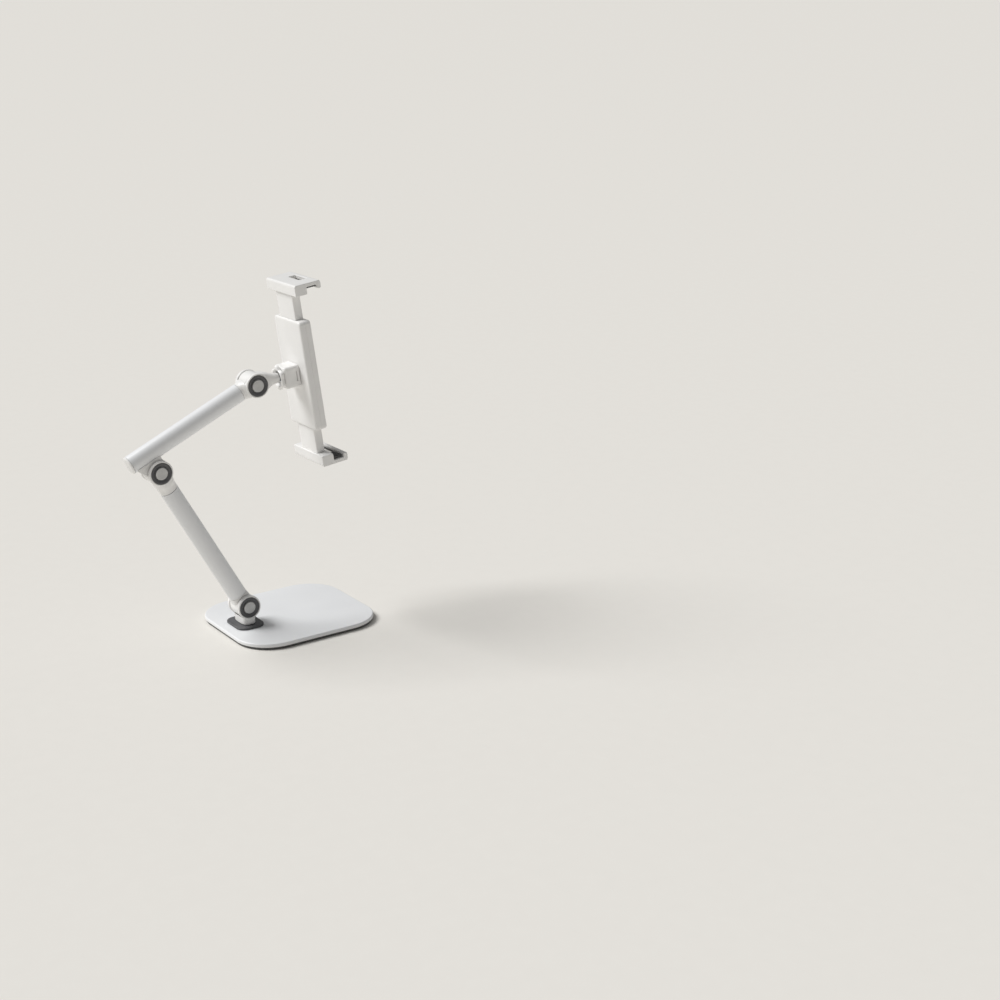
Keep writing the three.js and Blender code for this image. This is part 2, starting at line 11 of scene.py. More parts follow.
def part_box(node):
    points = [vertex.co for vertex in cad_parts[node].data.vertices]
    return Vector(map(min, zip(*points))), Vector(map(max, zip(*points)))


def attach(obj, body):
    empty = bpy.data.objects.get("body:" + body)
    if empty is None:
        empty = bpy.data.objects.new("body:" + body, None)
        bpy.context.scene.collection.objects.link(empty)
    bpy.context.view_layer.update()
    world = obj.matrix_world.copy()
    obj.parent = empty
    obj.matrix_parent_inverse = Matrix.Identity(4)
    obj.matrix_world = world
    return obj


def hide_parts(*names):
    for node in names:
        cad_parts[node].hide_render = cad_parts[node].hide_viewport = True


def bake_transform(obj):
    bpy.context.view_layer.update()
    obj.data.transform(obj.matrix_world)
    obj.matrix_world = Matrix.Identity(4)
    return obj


bl_info = {
    "name": "Folding Tablet Stand",
    "version": (1, 0, 0),
    "blender": (4, 5, 0),
    "location": "View3D > Sidebar > Stand",
    "description": "Builds the surfaces and finishes of a folding desktop tablet stand",
    "category": "Object",
}

# Shapes are drawn in millimetres in a frame of their own, then placed in the stand's frame, in metres.
MM = 0.001
ROUND = 96                     # sides of a turned piece
GAP = 0.3                      # clearance between pieces that touch
BAR_HALF = 17.5                # half the width of the two sliding bars
UPRIGHT = Matrix.Rotation(-math.pi / 2, 4, "X")            # turns Z into +Y
SIDES = (("top", 0), ("bottom", math.pi))                  # each jaw, and its turn about the head's Y
HINGES = ("base_hinge", "elbow", "head_hinge")

# The frame's material slots, and the finish that each one gets.
FINISHES = {"white_paint": "powder_coat", "white_plastic": "moulded_abs", "dark_trim": "spark_eroded_trim",
            "grey_cap": "spun_aluminium", "black_rubber": "black_rubber", "steel": "zinc_plated_steel",
            "nylon": "natural_nylon"}

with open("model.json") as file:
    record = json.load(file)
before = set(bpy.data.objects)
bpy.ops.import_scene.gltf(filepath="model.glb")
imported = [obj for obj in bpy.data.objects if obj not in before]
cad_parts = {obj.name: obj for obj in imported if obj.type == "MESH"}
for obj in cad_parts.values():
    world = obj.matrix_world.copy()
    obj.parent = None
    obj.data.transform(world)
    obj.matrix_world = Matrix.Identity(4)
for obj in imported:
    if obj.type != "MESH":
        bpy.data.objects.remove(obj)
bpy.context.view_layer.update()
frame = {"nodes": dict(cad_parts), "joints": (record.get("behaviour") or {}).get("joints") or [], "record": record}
JOINTS = {joint["name"]: joint for joint in frame["joints"]}


def linear(code):
    """The linear colour of an sRGB hex code."""
    channels = [int(code[i:i + 2], 16) / 255 for i in (1, 3, 5)]
    return tuple(c / 12.92 if c <= 0.04045 else ((c + 0.055) / 1.055) ** 2.4 for c in channels)


def length(name, text, millimetres):
    """A length on the panel, given in millimetres."""
    return FloatProperty(name=name, description=text, default=millimetres * MM, min=0.0, unit="LENGTH",
                         precision=4)


def color(name, text, code):
    """A colour on the panel, given as an sRGB hex code."""
    return FloatVectorProperty(name=name, description=text, default=linear(code), size=3, min=0, max=1,
                               subtype="COLOR")


# ---- settings ----
class StandSizes(bpy.types.PropertyGroup):
    """Sizes of the stand's surfaces."""
    barrel_radius: length("Barrel radius", "Radius of each hinge's outer barrel", 12.5)
    barrel_half: length("Barrel half length", "Half the length of each hinge barrel", 13.6)
    slot_half: length("Slot half width", "Half the gap between a yoke's two ears", 9.4)
    tongue_half: length("Tongue half width", "Half the width of the tongue in a yoke", 8.2)
    eye_radius: length("Eye radius", "Radius of the tongue's round end", 12.0)
    ring_radius: length("Ring radius", "Outer radius of the dark trim rings", 10.7)
    cap_radius: length("Cap radius", "Radius of the metal caps", 6.3)
    tube_radius: length("Tube radius", "Outer radius of the arm tubes", 9.5)
    tube_bore: length("Tube bore", "Inner radius of the arm tubes", 8.0)
    base_width: length("Base width", "Size of the base plate across the stand", 146)
    base_depth: length("Base depth", "Size of the base plate from front to back", 153)
    base_corner: length("Base corner", "Corner radius of the base plate", 39)
    body_half_width: length("Holder half width", "Half the width of the holder body", 28)
    body_half_height: length("Holder half height", "Half the height of the holder body", 57.5)
    upper_offset: length("Upper arm offset", "Height of the upper tube above the elbow axis", 20.4)


class StandFinish(bpy.types.PropertyGroup):
    """Colours and textures of the stand's finishes."""
    paint: color("Paint", "Powder coat on the base and tubes", "#edeeef")
    plastic: color("Plastic", "Moulded castings and covers", "#f0efed")
    trim: color("Trim", "Hinge rings and swivel collar", "#565658")
    metal: color("Metal", "Caps on the hinges", "#bdbdbc")
    rubber: color("Rubber", "Base pad and grip pads", "#18181a")
    steel: color("Steel", "Bolts, ball stud and springs", "#b4b6ba")
    nylon: color("Nylon", "Washers, seats and pinion", "#d8d6d0")
    peel: length("Orange peel", "Width of one ripple in the powder coat", 2.2)
    grain: length("Moulded grain", "Width of one grain of the moulded texture", 0.9)


class StandPads(bpy.types.PropertyGroup):
    """Ribs of the rubber pads and turns of the springs."""
    rib_pitch: length("Rib pitch", "Distance between two ribs", 3.0)
    rib_radius: length("Rib radius", "Radius of one rib", 0.55)
    spring_turns: IntProperty(name="Spring turns", description="Turns of each jaw spring", default=22,
                              min=4, max=60)


def in_mm(group):
    """A settings group's values, with its lengths in millimetres."""
    values = {}
    for name in group.__class__.__annotations__:
        value = getattr(group, name)
        values[name] = value / MM if isinstance(value, float) else value
    return SimpleNamespace(**values)


# ---- frames of the moving bodies ----
def point(joint):
    """A joint's place, in millimetres."""
    return Vector(JOINTS[joint]["pos_m"]) / MM


def heights(node):
    """A node's lowest and highest heights, in millimetres."""
    return [corner.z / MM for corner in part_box(node)]


def at_swivel(obj):
    """Moves a piece from the Z axis to the swivel's axis."""
    post = point("base_swivel")
    obj.data.transform(Matrix.Translation((post.x, post.y, 0)))
    return obj


def frame_along(origin, along):
    """A frame at origin whose Z runs along the given direction and whose X is the stand's own."""
    z = Vector(along).normalized()
    x = Vector((1, 0, 0))
    y = z.cross(x)
    turn = Matrix((x, y, z)).transposed().to_4x4()
    return Matrix.Translation(origin) @ turn


def upper_line(offset):
    """The upper tube's direction, forwards from the elbow to the head hinge."""
    reach = point("head_hinge") - point("elbow")
    along = math.sqrt(reach.length_squared - offset ** 2)
    side = Vector((0, reach.z, -reach.y))
    return (along * reach - offset * side) / reach.length_squared


def frames(sizes):
    """Every piece's own frame, by name, in millimetres."""
    low, mid, high, ball = (point(name) for name in HINGES + ("ball_pan",))
    line = upper_line(sizes.upper_offset)
    rise = Vector((0, line.z, -line.y))
    return {
        "stand": Matrix.Identity(4),
        "post": Matrix.Translation(low),
        "lower_arm": frame_along(low, mid - low),
        "elbow": frame_along(mid, mid - low),
        "bracket": frame_along(mid, rise),
        "upper_arm": frame_along(mid + rise * sizes.upper_offset, line),
        "head_hinge": frame_along(high, line),
        "link": frame_along(high, ball - high),
        "head": frame_along(ball, JOINTS["top_jaw_slide"]["axis"]),
    }


# ---- meshes ----
def mesh_object(name, vertices, faces):
    """An object in the scene, made from points and faces."""
    mesh = bpy.data.meshes.new(name)
    mesh.from_pydata([tuple(v) for v in vertices], [], faces)
    obj = bpy.data.objects.new(name, mesh)
    bpy.context.scene.collection.objects.link(obj)
    outwards(mesh)
    return obj


def outwards(mesh):
    """Joins doubled points and turns every face of a closed mesh outwards."""
    work = bmesh.new()
    work.from_mesh(mesh)
    bmesh.ops.remove_doubles(work, verts=work.verts, dist=1e-5)
    bmesh.ops.recalc_face_normals(work, faces=work.faces)
    work.to_mesh(mesh)
    work.free()


def fillet(points, radius, steps=5, closed=True):
    """Rounds the corners of a flat outline. radius is one number, or one for each point."""
    points = [Vector(p) for p in points]
    radii = radius if isinstance(radius, (list, tuple)) else [radius] * len(points)
    rounded = []
    for i, (here, r) in enumerate(zip(points, radii)):
        ends = not closed and i in (0, len(points) - 1)
        if ends or r <= 0:
            rounded.append(here)
            continue
        before = points[i - 1] - here
        after = points[(i + 1) % len(points)] - here
        half = before.angle(after) / 2
        reach = min(r / math.tan(half), 0.49 * before.length, 0.49 * after.length)
        a = here + before.normalized() * reach
        b = here + after.normalized() * reach
        for k in range(steps + 1):
            t = k / steps
            rounded.append(a * (1 - t) ** 2 + here * 2 * t * (1 - t) + b * t * t)
    return rounded


def turned(name, profile, axis="Z", sides=ROUND):
    """Spins a profile of (radius, height) about an axis. It ends on the axis, or closes on itself."""
    ring_closed = profile[0][0] > 0
    vertices, rows = [], []
    for r, h in profile:
        count = sides if r > 1e-6 else 1
        rows.append(range(len(vertices), len(vertices) + count))
        for i in range(count):
            angle = 2 * math.pi * i / sides
            vertices.append(Vector((r * math.cos(angle), r * math.sin(angle), h)))
    pairs = list(zip(rows, rows[1:]))
    if ring_closed:
        pairs.append((rows[-1], rows[0]))
    faces = []
    for a, b in pairs:
        for i in range(sides):
            j = (i + 1) % sides
            corners = [a[i % len(a)], a[j % len(a)], b[j % len(b)], b[i % len(b)]]
            corners = list(dict.fromkeys(corners))         # on the axis, two corners are one
            if len(corners) > 2:
                faces.append(corners)
    turns = {"Z": Matrix.Identity(4), "X": Matrix.Rotation(math.pi / 2, 4, "Y"),
             "Y": Matrix.Rotation(-math.pi / 2, 4, "X")}
    return mesh_object(name, [turns[axis] @ v for v in vertices], faces)


def ball_arc(radius, middle=0.0, start=0.0, steps=32):
    """(radius, height) points up a ball's side, from the angle start at its foot to its top."""
    angles = [start + (math.pi - start) * k / steps for k in range(steps + 1)]
    return [(radius * math.sin(angle), middle - radius * math.cos(angle)) for angle in angles]


def rod(name, radius, low, high, axis="Z", rim=0.0, sides=ROUND):
    """A solid round bar between two heights along an axis."""
    corners = [(0, low), (radius, low), (radius, high), (0, high)]
    profile = fillet(corners, [0, rim, rim, 0], closed=False) if rim else corners
    return turned(name, profile, axis, sides)


def skinned(name, rings):
    """Skins a stack of rings of equal count, and closes both ends."""
    count = len(rings[0])
    faces = [list(range(count)), [len(rings) * count - 1 - i for i in range(count)]]
    for k in range(len(rings) - 1):
        for i in range(count):
            j = (i + 1) % count
            faces.append([k * count + i, k * count + j, (k + 1) * count + j, (k + 1) * count + i])
    return mesh_object(name, [v for ring in rings for v in ring], faces)


def flared(name, stations, sides=72, between=6):
    """A smooth stem through superellipse stations of (height, half x, half y, squareness)."""
    smooth = []
    for k in range(len(stations) - 1):
        around = [stations[min(max(k + d, 0), len(stations) - 1)] for d in (-1, 0, 1, 2)]
        for step in range(between):
            t = step / between
            blend = []
            for before, a, b, after in zip(*around):
                low, high = (b - before) / 2, (after - a) / 2
                value = (2 * t ** 3 - 3 * t ** 2 + 1) * a + (t ** 3 - 2 * t ** 2 + t) * low
                blend.append(value + (3 * t ** 2 - 2 * t ** 3) * b + (t ** 3 - t ** 2) * high)
            blend[0] = stations[k][0] * (1 - t) + stations[k + 1][0] * t
            smooth.append(blend)
    smooth.append(stations[-1])
    rings = []
    for height, half_x, half_y, square in smooth:
        ring = []
        for i in range(sides):
            c, s = math.cos(2 * math.pi * i / sides), math.sin(2 * math.pi * i / sides)
            x = half_x * math.copysign(abs(c) ** (2 / square), c)
            ring.append(Vector((x, half_y * math.copysign(abs(s) ** (2 / square), s), height)))
        rings.append(ring)
    return skinned(name, rings)


def rounded_ring(half_x, half_y, corner, height, steps=12):
    """A rectangle with round corners, at one height."""
    ring = []
    quarters = ((1, 1), (-1, 1), (-1, -1), (1, -1))
    for quarter, (sx, sy) in enumerate(quarters):
        for k in range(steps + 1):
            angle = (quarter + k / steps) * math.pi / 2
            x = sx * (half_x - corner) + corner * math.cos(angle)
            ring.append(Vector((x, sy * (half_y - corner) + corner * math.sin(angle), height)))
    return ring


def slab(name, half_x, half_y, corner, low, high, rim_low=0.0, rim_high=0.0, corner_steps=12):
    """A plate with rounded corners and rounded rims, that keeps its full size."""
    quarter = [k / 6 * math.pi / 2 for k in range(7)]
    levels = [(0, low)]
    if rim_low:
        levels = [(rim_low * (1 - math.sin(a)), low + rim_low * (1 - math.cos(a))) for a in quarter]
    if rim_high:
        levels += [(rim_high * (1 - math.cos(a)), high - rim_high * (1 - math.sin(a))) for a in quarter]
    else:
        levels.append((0, high))
    rings = []
    for inset, height in levels:
        rings.append(rounded_ring(half_x - inset, half_y - inset, corner - inset, height, corner_steps))
    return skinned(name, rings)


def block(name, low, high):
    """A box between two corners."""
    x, y, z = zip(low, high)
    corners = [Vector((x[i], y[j], z[k])) for k in (0, 1) for i, j in ((0, 0), (1, 0), (1, 1), (0, 1))]
    return skinned(name, [corners[:4], corners[4:]])


def prism(name, outline, low, high, axis="X"):
    """An outline of (u, v) points carried along an axis: along X it lies in YZ, along Y in XZ."""
    spots = {"X": lambda u, v, d: Vector((d, u, v)), "Y": lambda u, v, d: Vector((u, d, v))}
    return skinned(name, [[spots[axis](p[0], p[1], d) for p in outline] for d in (low, high)])


def settled(obj):
    """Turns an object's modifiers into its mesh."""
    graph = bpy.context.evaluated_depsgraph_get()
    mesh = bpy.data.meshes.new_from_object(obj.evaluated_get(graph))
    obj.modifiers.clear()
    obj.data = mesh
    return obj


def carved(name, adds, cuts=()):
    """Joins the first solids and cuts the others away."""
    body = adds[0]
    body.name = name
    tools = [(tool, "UNION") for tool in adds[1:]] + [(tool, "DIFFERENCE") for tool in cuts]
    for tool, operation in tools:
        step = body.modifiers.new("cut", "BOOLEAN")
        step.operation = operation
        step.solver = "MANIFOLD"
        step.object = tool
    settled(body)
    for tool, _ in tools:
        bpy.data.objects.remove(tool)
    return body


def cast(obj, voxel, passes=5):
    """Rounds every edge and root a little, as a moulded or cast piece has them."""
    skin = obj.modifiers.new("skin", "REMESH")
    skin.mode = "VOXEL"
    skin.voxel_size = voxel
    relax = obj.modifiers.new("relax", "SMOOTH")
    relax.factor = 0.5
    relax.iterations = passes
    return settled(obj)


def finish(obj, place, body, slot, nodes, crease=38):
    """Puts a piece in the stand's frame, in metres, gives it its body and finish, and hides the CAD nodes it
    stands for.
    A piece that spans two bodies takes no body here."""
    obj.data.transform(Matrix.Scale(MM, 4) @ place)
    work = bmesh.new()
    work.from_mesh(obj.data)
    for face in work.faces:
        face.smooth = True
    for edge in work.edges:
        edge.smooth = edge.calc_face_angle(math.pi) < math.radians(crease)
    work.to_mesh(obj.data)
    work.free()
    obj.data.materials.clear()
    obj.data.materials.append(bpy.data.materials[FINISHES[slot]])
    if body:
        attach(obj, body)
    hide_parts(*nodes)


# ---- node trees ----
def add(tree, kind, inputs=None, links=None, **settings):
    """Adds a node, sets its properties and free inputs, and feeds its linked inputs."""
    node = tree.nodes.new(kind)
    for key, value in settings.items():
        setattr(node, key, value)
    for key, value in (inputs or {}).items():
        node.inputs[key].default_value = value
    for key, source in (links or {}).items():
        tree.links.new(source, node.inputs[key])
    return node


def start_material(name):
    """A new material's tree, and the object's own coordinates in it."""
    material = bpy.data.materials.new(name)
    material.use_nodes = True
    tree = material.node_tree
    tree.nodes.clear()
    return tree, add(tree, "ShaderNodeTexCoord").outputs["Object"]


def close_material(tree, inputs, links):
    """Ends a material in its surface."""
    shader = add(tree, "ShaderNodeBsdfPrincipled", inputs, links)
    add(tree, "ShaderNodeOutputMaterial", links={"Surface": shader.outputs["BSDF"]})


def noise(tree, place, scale, detail, distortion=0.0):
    """Soft noise, with its scale in ripples to the metre."""
    inputs = {"Scale": scale, "Detail": detail, "Distortion": distortion}
    return add(tree, "ShaderNodeTexNoise", inputs, {"Vector": place}).outputs["Fac"]


def cells(tree, place, scale):
    """Rounded pits around scattered points, with their scale in pits to the metre."""
    return add(tree, "ShaderNodeTexVoronoi", {"Scale": scale}, {"Vector": place}).outputs["Distance"]


def gloss(tree, factor, low, high):
    """A roughness that drifts between two values, as the factor does."""
    spread = {"To Min": low, "To Max": high}
    return add(tree, "ShaderNodeMapRange", spread, {"Value": factor}).outputs["Result"]


def relief(tree, height, strength, depth):
    """A bump that follows the height, with its depth in millimetres."""
    inputs = {"Strength": strength, "Distance": depth * MM}
    return add(tree, "ShaderNodeBump", inputs, {"Height": height}).outputs["Normal"]


def shades(tree, factor, base, darker, lighter):
    """A colour that drifts a little around its base, as the factor does."""
    ramp = add(tree, "ShaderNodeValToRGB", links={"Fac": factor})
    low, high = ramp.color_ramp.elements
    low.position, high.position = 0.3, 0.7
    low.color = tuple(min(1, c * darker) for c in base) + (1,)
    high.color = tuple(min(1, c * lighter) for c in base) + (1,)
    return ramp.outputs["Color"]


# ---- finishes ----
def powder_coat(colors, grain):
    """Polyester powder coat on steel: satin, with a low orange peel that ripples the highlights."""
    tree, place = start_material("powder_coat")
    drift = noise(tree, place, 22, 3)
    peel = noise(tree, place, 1 / grain.peel / MM, 1.5)
    close_material(tree, {"IOR": 1.5, "Coat Weight": 0.15, "Coat Roughness": 0.25}, {
        "Base Color": shades(tree, drift, colors.paint, 0.975, 1.0),
        "Roughness": gloss(tree, drift, 0.34, 0.44),
        "Normal": relief(tree, peel, 0.35, 0.04),
    })


def moulded_abs(colors, grain):
    """Injection-moulded ABS: even white with a soft sheen and a fine grain left by the mould."""
    tree, place = start_material("moulded_abs")
    flow = noise(tree, place, 45, 2, 0.6)
    pits = noise(tree, place, 1 / grain.grain / MM, 2)
    close_material(tree, {"IOR": 1.53}, {
        "Base Color": shades(tree, flow, colors.plastic, 0.975, 1.0),
        "Roughness": gloss(tree, flow, 0.27, 0.37),
        "Normal": relief(tree, pits, 0.25, 0.015),
    })


def eroded_trim(colors, grain):
    """Dark ABS from a spark-eroded mould: matte, with a coarse grain that catches a grey sheen."""
    tree, place = start_material("spark_eroded_trim")
    pits = cells(tree, place, 1 / (0.7 * grain.grain) / MM)
    drift = noise(tree, place, 120, 3)
    close_material(tree, {"IOR": 1.53}, {
        "Base Color": shades(tree, drift, colors.trim, 0.85, 1.12),
        "Roughness": gloss(tree, drift, 0.42, 0.58),
        "Normal": relief(tree, pits, 0.4, 0.03),
    })


def spun_aluminium(colors, grain):
    """Spun aluminium: turned grooves around each cap's centre, drawn coarse enough to show."""
    tree, place = start_material("spun_aluminium")
    pitch = 0.8
    radius = add(tree, "ShaderNodeAttribute", attribute_name="from_axis").outputs["Fac"]
    turns = add(tree, "ShaderNodeMath", {1: 2 * math.pi / pitch}, {0: radius}, operation="MULTIPLY")
    groove = add(tree, "ShaderNodeMath", links={0: turns.outputs[0]}, operation="SINE")
    grit = noise(tree, place, 900, 3)
    close_material(tree, {"Metallic": 0.75}, {
        "Base Color": shades(tree, grit, colors.metal, 0.96, 1.03),
        "Roughness": gloss(tree, grit, 0.3, 0.45),
        "Normal": relief(tree, groove.outputs[0], 0.7, 0.05),
    })


def black_rubber(colors, grain):
    """Vulcanised black rubber: nearly matte, with a dusty bloom in soft patches."""
    tree, place = start_material("black_rubber")
    bloom = noise(tree, place, 90, 5)
    skin = noise(tree, place, 1 / (0.8 * grain.grain) / MM, 2)
    close_material(tree, {"IOR": 1.52}, {
        "Base Color": shades(tree, bloom, colors.rubber, 0.8, 1.5),
        "Roughness": gloss(tree, bloom, 0.65, 0.85),
        "Normal": relief(tree, skin, 0.4, 0.03),
    })


def zinc_plate(colors, grain):
    """Bright zinc plate on steel: a cloudy silver with small crystals."""
    tree, place = start_material("zinc_plated_steel")
    crystals = cells(tree, place, 1400)
    cloud = noise(tree, place, 160, 4)
    close_material(tree, {"Metallic": 1.0}, {
        "Base Color": shades(tree, cloud, colors.steel, 0.88, 1.05),
        "Roughness": gloss(tree, cloud, 0.2, 0.4),
        "Normal": relief(tree, crystals, 0.15, 0.01),
    })


def natural_nylon(colors, grain):
    """Natural nylon: milky, a little waxy, with faint flow marks."""
    tree, place = start_material("natural_nylon")
    flow = noise(tree, place, 130, 2, 1.0)
    close_material(tree, {"IOR": 1.53}, {
        "Base Color": shades(tree, flow, colors.nylon, 0.93, 1.03),
        "Roughness": gloss(tree, flow, 0.4, 0.55),
        "Normal": relief(tree, flow, 0.2, 0.02),
    })


def matte_floor():
    """A pale matte paper sweep, with a barely visible tooth."""
    tree, place = start_material("pale_sweep")
    tint = shades(tree, noise(tree, place, 60, 3), linear("#e8e5df"), 0.99, 1.0)
    close_material(tree, {"Roughness": 0.9, "Specular IOR Level": 0.1}, {"Base Color": tint})


# ---- repeats ----
def repeat_tree(name, inputs):
    """A geometry tree with the named inputs, and its inputs by name."""
    tree = bpy.data.node_groups.new(name, "GeometryNodeTree")
    for label, kind in inputs:
        tree.interface.new_socket(label, in_out="INPUT", socket_type=kind)
    tree.interface.new_socket("Geometry", in_out="OUTPUT", socket_type="NodeSocketGeometry")
    return tree, tree.nodes.new("NodeGroupInput").outputs


def close_tree(tree, geometry, material):
    """Ends a geometry tree in real geometry that carries a material."""
    real = add(tree, "GeometryNodeRealizeInstances", links={"Geometry": geometry})
    painted = add(tree, "GeometryNodeSetMaterial", {"Material": bpy.data.materials[material]},
                  {"Geometry": real.outputs["Geometry"]})
    add(tree, "NodeGroupOutput", links={"Geometry": painted.outputs["Geometry"]})


def rib_tree():
    """Straight round ribs along X, side by side along Z and centred on the origin."""
    tree, given = repeat_tree("pad_ribs", [("Count", "NodeSocketInt"), ("Pitch", "NodeSocketFloat"),
                                           ("Half length", "NodeSocketFloat"), ("Radius", "NodeSocketFloat")])
    less = add(tree, "ShaderNodeMath", {1: 1}, {0: given["Count"]}, operation="SUBTRACT")
    span = add(tree, "ShaderNodeMath", links={0: less.outputs[0], 1: given["Pitch"]}, operation="MULTIPLY")
    first = add(tree, "ShaderNodeMath", {1: -0.5}, {0: span.outputs[0]}, operation="MULTIPLY")
    start = add(tree, "ShaderNodeCombineXYZ", links={"Z": first.outputs[0]})
    step = add(tree, "ShaderNodeCombineXYZ", links={"Z": given["Pitch"]})
    rows = add(tree, "GeometryNodeMeshLine",
               links={"Count": given["Count"], "Start Location": start.outputs[0], "Offset": step.outputs[0]})
    left = add(tree, "ShaderNodeMath", {1: -1}, {0: given["Half length"]}, operation="MULTIPLY")
    low = add(tree, "ShaderNodeCombineXYZ", links={"X": left.outputs[0]})
    high = add(tree, "ShaderNodeCombineXYZ", links={"X": given["Half length"]})
    line = add(tree, "GeometryNodeCurvePrimitiveLine",
               links={"Start": low.outputs[0], "End": high.outputs[0]})
    section = add(tree, "GeometryNodeCurvePrimitiveCircle", {"Resolution": 12},
                  {"Radius": given["Radius"]})
    rib = add(tree, "GeometryNodeCurveToMesh", {"Fill Caps": True},
              {"Curve": line.outputs["Curve"], "Profile Curve": section.outputs["Curve"]})
    spread = add(tree, "GeometryNodeInstanceOnPoints",
                 links={"Points": rows.outputs["Mesh"], "Instance": rib.outputs["Mesh"]})
    close_tree(tree, spread.outputs["Instances"], "black_rubber")


def coil_tree():
    """A round wire wound about Z, from the origin upwards."""
    tree, given = repeat_tree("wound_spring", [("Turns", "NodeSocketFloat"), ("Radius", "NodeSocketFloat"),
                                               ("Wire", "NodeSocketFloat"), ("Height", "NodeSocketFloat")])
    path = add(tree, "GeometryNodeCurveSpiral", {"Resolution": 20},
               {"Rotations": given["Turns"], "Start Radius": given["Radius"],
                "End Radius": given["Radius"], "Height": given["Height"]})
    section = add(tree, "GeometryNodeCurvePrimitiveCircle", {"Resolution": 8},
                  {"Radius": given["Wire"]})
    wire = add(tree, "GeometryNodeCurveToMesh", {"Fill Caps": True},
               {"Curve": path.outputs["Curve"], "Profile Curve": section.outputs["Curve"]})
    close_tree(tree, wire.outputs["Mesh"], "zinc_plated_steel")


def grown(name, tree_name, values):
    """Runs a geometry tree with the given inputs and keeps its result as a plain mesh."""
    obj = mesh_object(name, [Vector((0, 0, 0))], [])
    step = obj.modifiers.new("grow", "NODES")
    step.node_group = bpy.data.node_groups[tree_name]
    for item in step.node_group.interface.items_tree:
        if item.in_out == "INPUT":
            step[item.identifier] = values[item.name]
    return settled(obj)


def joined(name, parts):
    """One object that holds several closed shells."""
    work = bmesh.new()
    for part in parts:
        work.from_mesh(part.data)
    mesh = bpy.data.meshes.new(name)
    work.to_mesh(mesh)
    work.free()
    for part in parts:
        bpy.data.objects.remove(part)
    obj = bpy.data.objects.new(name, mesh)
    bpy.context.scene.collection.objects.link(obj)
    return obj


# ---- shared hinge and tube shapes ----
POCKET_FLOOR = 11.6            # from a hinge's middle to the floor of its ring pocket
SEAT_FLOOR = 10.9              # from a hinge's middle to the floor of its bolt seat
BOLT_SEAT = 5.6                # radius of the recess for a bolt's head
BOLT_BORE = 3.3                # radius of the hole for a hinge's bolt
SLOT_EXTRA = 0.5               # how far the slot reaches past the barrel, behind the ears
FOOT_SEAM = 14                 # from the base hinge to the start of the lower tube
ELBOW_SEAM = 25                # from the end of the lower tube to the elbow
HEAD_SEAM = 17                 # from the end of the upper tube to the head hinge
TAIL = 20                      # how far the upper tube runs back past the elbow
PLUG = 10                      # length of the plugs inside the tubes
PLUG_GAP = 0.4                 # between a plug and the tube's bore


def hinge_barrel(s):
    """The round outside of a hinge, along X."""
    return rod("barrel", s.barrel_radius, -s.barrel_half, s.barrel_half, "X", rim=1.1)


def hinge_cuts(s):
    """What is cut from a yoke: the slot, the bolt's bore, and a ring pocket and bolt seat in each ear."""
    over = s.barrel_half + 1
    slot = s.barrel_radius + SLOT_EXTRA
    cuts = [
        rod("slot_round", slot, -s.slot_half, s.slot_half, "X"),
        block("slot_mouth", (-s.slot_half, -slot, 0), (s.slot_half, slot, slot + 4)),
        rod("bore", BOLT_BORE, -over, over, "X"),
    ]
    for radius, floor in ((s.ring_radius + GAP, POCKET_FLOOR), (BOLT_SEAT, SEAT_FLOOR)):
        cuts.append(rod("recess", radius, floor, over, "X"))
        cuts.append(rod("recess", radius, -over, -floor, "X"))
    return cuts


def eye_and_bore(s):
    """The tongue's round end, and the bolt's hole through it."""
    eye = rod("eye", s.eye_radius, -s.tongue_half, s.tongue_half, "X", rim=0.6)
    return eye, rod("eye_bore", BOLT_BORE, -s.barrel_half, s.barrel_half, "X")


def moulding(solid, place, body, node, voxel=0.3, passes=5):
    """Finishes a piece as a white moulding, with no sharp edges."""
    finish(cast(solid, voxel, passes), place, body, "white_plastic", [node], crease=70)


class StandPiece:
    """What the operators share: the settings and frames they read."""
    bl_options = {"REGISTER", "UNDO"}

    def read(self, context):
        sizes = in_mm(context.scene.stand_sizes)
        return sizes, frames(sizes)

    def ribs(self, pads, count, half_length):
        """A pad's ribs, as one mesh."""
        return grown("ribs", "pad_ribs", {"Count": count, "Pitch": pads.rib_pitch, "Half length": half_length,
                                          "Radius": pads.rib_radius})


# ---- operators ----
class STAND_OT_materials(bpy.types.Operator):
    """Makes every finish"""
    bl_idname = "stand.materials"
    bl_label = "Finishes"

    def execute(self, context):
        colors = context.scene.stand_finish
        grain = in_mm(colors)
        recipes = (powder_coat, moulded_abs, eroded_trim, spun_aluminium, black_rubber, zinc_plate,
                   natural_nylon)
        for recipe in recipes:
            recipe(colors, grain)
        matte_floor()
        return {"FINISHED"}


